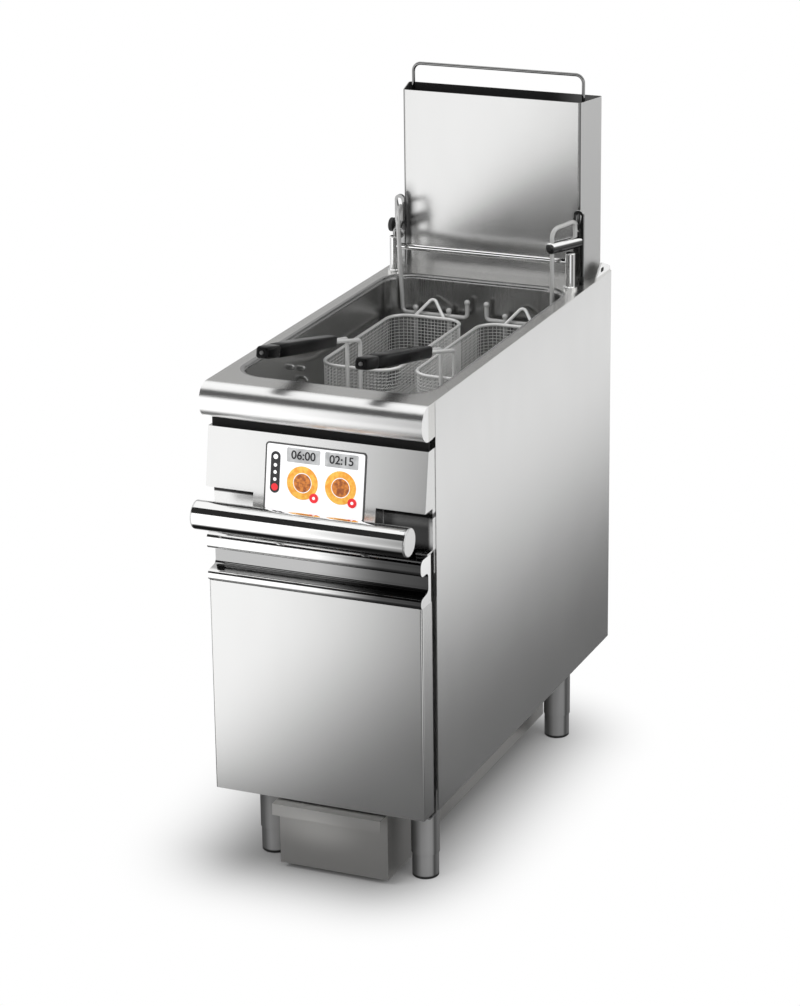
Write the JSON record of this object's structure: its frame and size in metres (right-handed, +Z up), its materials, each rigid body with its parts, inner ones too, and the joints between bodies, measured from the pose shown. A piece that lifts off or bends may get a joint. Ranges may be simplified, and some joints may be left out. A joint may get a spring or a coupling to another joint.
{
  "type": "gas deep fryer",
  "caption": "Free-standing stainless gas deep fryer with a sloped oil well, wire baskets on powered lifts, tilted touch display, handrail, hinged door, rear flue and oil tank below.",
  "frame": {"origin": "on the floor, under the middle of the whole object's box", "axes": "+Z up, +X to the right of someone facing the front, -Y towards them"},
  "size_m": [0.4, 0.975, 1.2685],
  "materials": {
    "satin_steel": "satin brushed stainless sheet",
    "polished_steel": "polished stainless",
    "well_steel": "plain mill finish stainless",
    "wire_steel": "bright wire",
    "black_grip": "moulded, slightly glossy",
    "black_trim": "black",
    "screen": "lit touch screen",
    "board": "circuit board",
    "brass": "turned",
    "grey_metal": "zinc grey"
  },
  "bodies": {
    "casing": {"base_frame": "satin_steel", "leg_sleeves": "satin_steel", "side_panel_left": "satin_steel", "side_panel_right": "satin_steel", "rear_panel": "satin_steel", "worktop": "satin_steel", "oil_well": "well_steel", "combustion_chamber": "well_steel", "flue_duct": "well_steel", "flue_riser": "satin_steel", "flue_bail": "polished_steel", "control_fascia": "satin_steel", "display_bezel": "black_trim", "display_glass": "screen", "display_housing": "black_trim", "control_board": "board", "vent_strip": "black_trim", "handrail": "polished_steel", "handrail_caps": "polished_steel", "handrail_brackets": "polished_steel", "rail_posts": "polished_steel", "hang_rail": "polished_steel", "lift_actuators": "grey_metal", "burners": "well_steel", "gas_manifold": "brass", "gas_valve": "grey_metal", "gas_pipe": "grey_metal", "gas_inlet": "brass", "igniter": "black_grip", "temperature_probe": "well_steel", "drain_pipes": "grey_metal", "drain_valve": "brass", "tank_rails": "satin_steel", "hinge_brackets": "satin_steel", "door_catch": "black_trim", "cable_gland": "black_grip", "panel_screws": "satin_steel", "ledge_plugs": "black_trim"},
    "door": {"door_skin": "satin_steel", "door_liner": "satin_steel", "door_handle": "polished_steel", "door_hinge_blocks": "grey_metal"},
    "lift_left": {"lift_bar_left": "polished_steel", "lift_carrier_left": "wire_steel", "lift_knob": "black_grip"},
    "lift_right": {"lift_bar_right": "polished_steel", "lift_carrier_right": "wire_steel"},
    "basket_left": {"basket_shell_left": "wire_steel", "basket_frame_left": "wire_steel", "basket_grip_left": "black_grip"},
    "basket_right": {"basket_shell_right": "wire_steel", "basket_frame_right": "wire_steel", "basket_grip_right": "black_grip"},
    "tank": {"oil_tank": "satin_steel", "tank_filter": "satin_steel"},
    "drain_lever": {"drain_lever": "black_grip"},
    "foot_front_left": {"foot_front_left": "satin_steel"},
    "foot_front_right": {"foot_front_right": "satin_steel"},
    "foot_rear_left": {"foot_rear_left": "satin_steel"},
    "foot_rear_right": {"foot_rear_right": "satin_steel"}
  },
  "joints": [
    {"name": "door_hinge", "type": "hinge", "parent": "casing", "child": "door", "pos_m": [0.187, -0.389, 0.396], "axis": [0, 0, 1], "range_deg": [0, 100]},
    {"name": "lift_left_slide", "type": "slide", "parent": "casing", "child": "lift_left", "axis": [0, 0, 1], "range_m": [0, 0.15]},
    {"name": "lift_right_slide", "type": "slide", "parent": "casing", "child": "lift_right", "axis": [0, 0, 1], "range_m": [0, 0.15]},
    {"name": "basket_left_lift_out", "type": "slide", "parent": "lift_left", "child": "basket_left", "axis": [0, 0, 1], "range_m": [0, 0.25]},
    {"name": "basket_right_lift_out", "type": "slide", "parent": "lift_right", "child": "basket_right", "axis": [0, 0, 1], "range_m": [0, 0.25]},
    {"name": "tank_slide", "type": "slide", "parent": "casing", "child": "tank", "axis": [0, -1, 0], "range_m": [0, 0.42]},
    {"name": "drain_lever_turn", "type": "hinge", "parent": "casing", "child": "drain_lever", "pos_m": [0, -0.106, 0.47], "axis": [0, 1, 0], "range_deg": [0, 90]},
    {"name": "foot_front_left_turn", "type": "hinge", "parent": "casing", "child": "foot_front_left", "pos_m": [-0.144, -0.295, 0.05], "axis": [0, 0, 1], "continuous": true},
    {"name": "foot_front_right_turn", "type": "hinge", "parent": "casing", "child": "foot_front_right", "pos_m": [0.144, -0.295, 0.05], "axis": [0, 0, 1], "continuous": true},
    {"name": "foot_rear_left_turn", "type": "hinge", "parent": "casing", "child": "foot_rear_left", "pos_m": [-0.144, 0.3575, 0.05], "axis": [0, 0, 1], "continuous": true},
    {"name": "foot_rear_right_turn", "type": "hinge", "parent": "casing", "child": "foot_rear_right", "pos_m": [0.144, 0.3575, 0.05], "axis": [0, 0, 1], "continuous": true}
  ]
}
